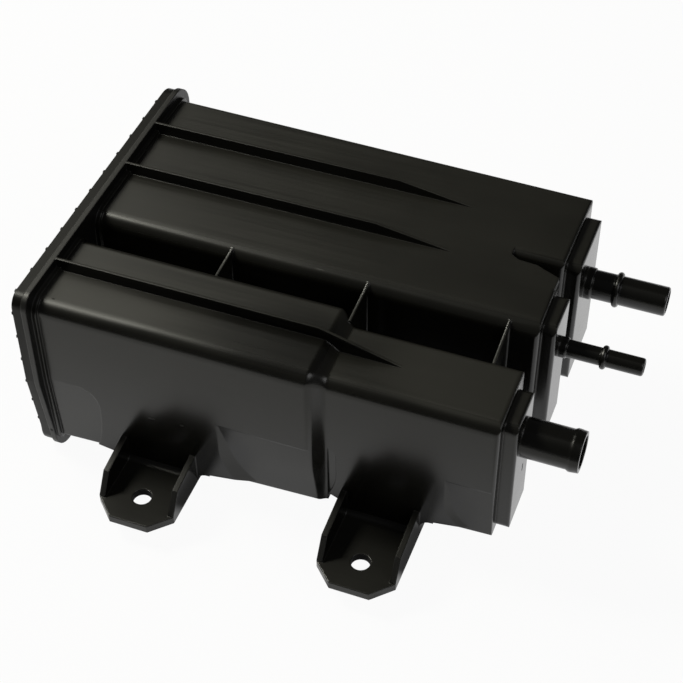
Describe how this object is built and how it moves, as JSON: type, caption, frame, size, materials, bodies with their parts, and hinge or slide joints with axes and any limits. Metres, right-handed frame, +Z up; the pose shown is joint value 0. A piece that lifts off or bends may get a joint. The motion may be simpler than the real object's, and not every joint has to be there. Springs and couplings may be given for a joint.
{
  "type": "charcoal canister",
  "caption": "Moulded charcoal canister for fuel vapour: long chambers side by side, welded ribbed end cover, quick-connect spigots, hose barb and two mounting tabs.",
  "frame": {"origin": "midway between the two tab holes, on the underside of the mounting tabs", "axes": "+X towards the ports, +Y away from the tabs to the rear chamber, +Z up"},
  "size_m": [0.3039, 0.2313, 0.1204],
  "materials": {
    "body": "semi-gloss black moulding",
    "cover": "semi-gloss black moulding",
    "carbon": "packed black pellets",
    "fleece": "white needled fleece",
    "foam": "grey open-cell foam",
    "plate": "natural nylon",
    "spring": "spring steel wire"
  },
  "bodies": {
    "root": {"canister_body": "body", "end_cover": "cover", "rear_carbon_bed": "carbon", "middle_carbon_bed": "carbon", "front_carbon_bed": "carbon", "rear_port_filter": "fleece", "middle_port_filter": "fleece", "front_port_filter": "fleece", "rear_cover_filter": "foam", "middle_cover_filter": "foam", "front_cover_filter": "foam", "rear_pressure_plate": "plate", "middle_pressure_plate": "plate", "front_pressure_plate": "plate", "rear_upper_spring": "spring", "rear_lower_spring": "spring", "middle_upper_spring": "spring", "middle_lower_spring": "spring", "front_upper_spring": "spring", "front_lower_spring": "spring"}
  },
  "joints": []
}
